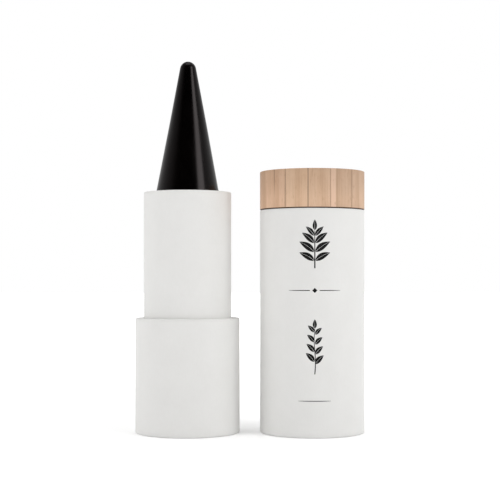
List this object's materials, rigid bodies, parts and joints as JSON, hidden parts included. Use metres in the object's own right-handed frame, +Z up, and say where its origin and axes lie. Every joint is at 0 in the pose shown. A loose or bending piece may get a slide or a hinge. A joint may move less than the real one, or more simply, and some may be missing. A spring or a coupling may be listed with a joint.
{
  "type": "kohl container",
  "caption": "Twist-up kohl stick in a wrapped paper tube, wound out to its cone, with its wooden-topped slip cap standing beside it.",
  "frame": {"origin": "centre of the base's foot, on the surface that it stands on", "axes": "+Z up along the tube, -Y towards the viewer of the picture, +X towards the cap that stands beside the base"},
  "size_m": [0.0461, 0.021, 0.0746],
  "materials": {
    "base_paper": "satin white wrapping paper, glued and folded over the ends",
    "neck_paper": "satin white wrapping paper, glued and folded over the top",
    "cap_paper": "satin white wrapping paper, glued and folded over the ends",
    "label_paper": "blank round sticker",
    "liner_paper": "smooth white board of the cap's liner",
    "board": "spiral-wound paperboard",
    "plastic": "satin moulded plastic",
    "brake_rubber": "dull black rubber cord",
    "kohl": "satin black wax, moulded to a cone",
    "wood": "bare light wood, sanded, in glued strips"
  },
  "bodies": {
    "base": {"base_board": "board", "base_wrap": "base_paper", "bottom_disc": "board", "bottom_label": "label_paper", "base_insert": "plastic", "guide_tube": "plastic", "brake_ring": "brake_rubber"},
    "neck": {"spiral_sleeve": "plastic", "neck_board": "board", "neck_wrap": "neck_paper"},
    "carrier": {"carrier_cup": "plastic", "kohl_stick": "kohl"},
    "cap": {"cap_board": "board", "cap_wrap": "cap_paper", "cap_liner": "liner_paper", "wood_strip_1": "wood", "wood_strip_2": "wood", "wood_strip_3": "wood", "wood_strip_4": "wood", "wood_strip_5": "wood"}
  },
  "joints": [
    {"name": "neck_turn", "type": "hinge", "parent": "base", "child": "neck", "pos_m": [0, 0, 0], "axis": [0, 0, 1], "range_deg": [0, 540]},
    {"name": "stick_travel", "type": "slide", "parent": "base", "child": "carrier", "axis": [0, 0, 1], "range_m": [-0.0271, 0]},
    {"name": "cap_lift", "type": "slide", "parent": "base", "child": "cap", "axis": [0, 0, 1], "range_m": [0, 0.08]}
  ],
  "couplings": [
    {"joint": "stick_travel", "follows": "neck_turn", "m_per_rad": -0.0028648}
  ]
}
